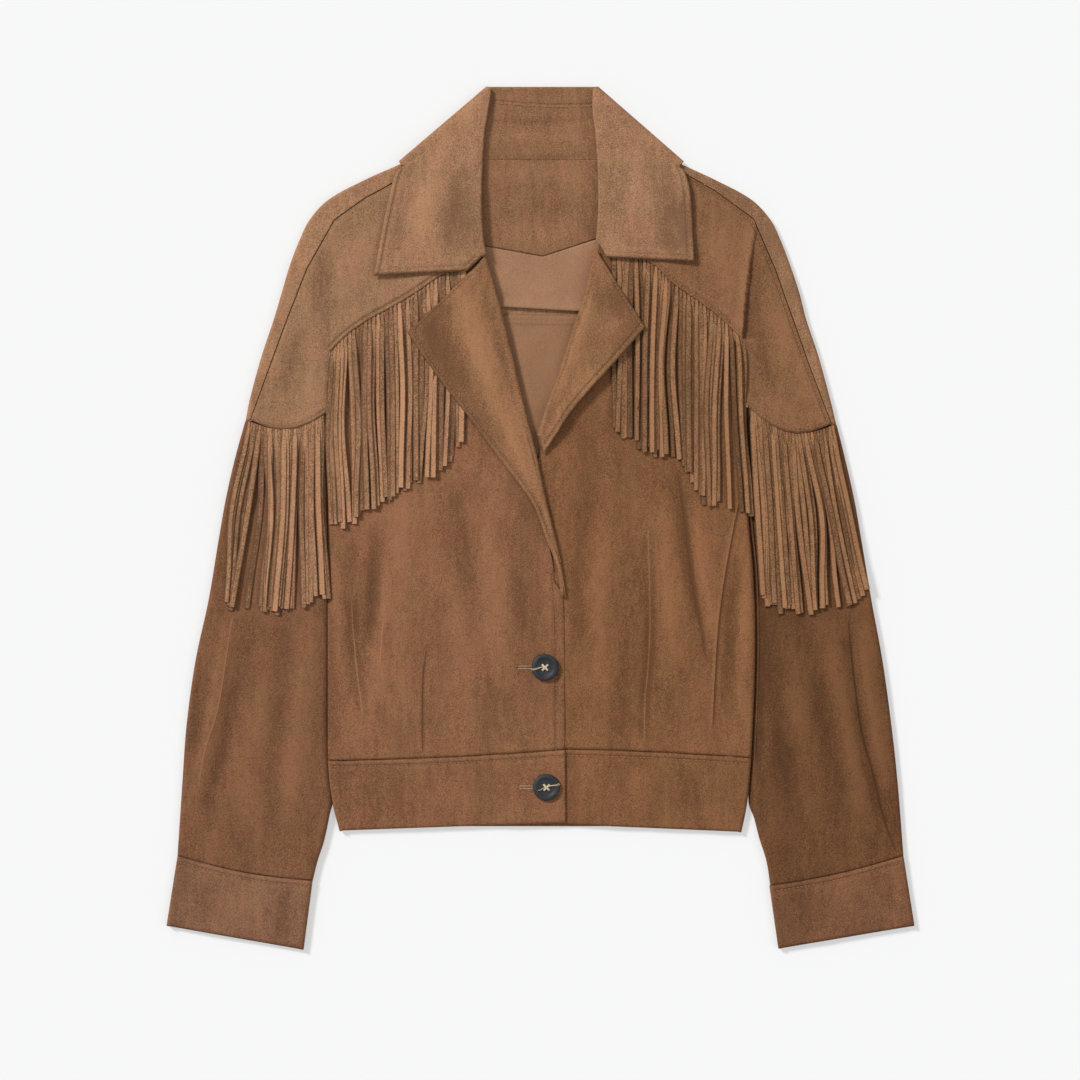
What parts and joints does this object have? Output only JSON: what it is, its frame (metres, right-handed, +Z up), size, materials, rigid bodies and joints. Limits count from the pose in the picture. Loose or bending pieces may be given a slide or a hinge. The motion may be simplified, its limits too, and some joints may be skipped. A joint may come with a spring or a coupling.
{
  "type": "fringed cropped jacket",
  "caption": "Cropped suede jacket laid flat on its back, with a notched collar, hanging fringe at the yoke and sleeves, a buttoned front and a hem band.",
  "frame": {"origin": "middle of the bounding box on the floor that the jacket lies on", "axes": "+Z up from the floor through the front, +Y towards the neck, +X towards the wearer's left side"},
  "size_m": [0.6424, 0.741, 0.0126],
  "materials": {
    "suede": "brushed nap, matt",
    "suede_collar": "brushed nap, matt",
    "fringe": "cut strips, matt",
    "lining": "plain weave, slight sheen",
    "button": "satin resin"
  },
  "bodies": {
    "root": {"back_body": "suede", "back_yoke": "suede", "front_left": "suede", "front_right": "suede", "front_yoke_left": "suede", "front_yoke_right": "suede", "hem_band_back": "suede", "hem_band_left": "suede", "hem_band_right": "suede", "sleeve_left": "suede", "sleeve_right": "suede", "cuff_left": "suede", "cuff_right": "suede", "collar": "suede_collar", "collar_stand": "suede_collar", "lapel_left": "suede_collar", "lapel_right": "suede_collar", "neck_facing": "suede_collar", "lining_upper": "lining", "lining_lower": "lining", "yoke_fringe_left": "fringe", "yoke_fringe_right": "fringe", "sleeve_fringe_left": "fringe", "sleeve_fringe_right": "fringe", "button_upper": "button", "button_lower": "button"}
  },
  "joints": []
}
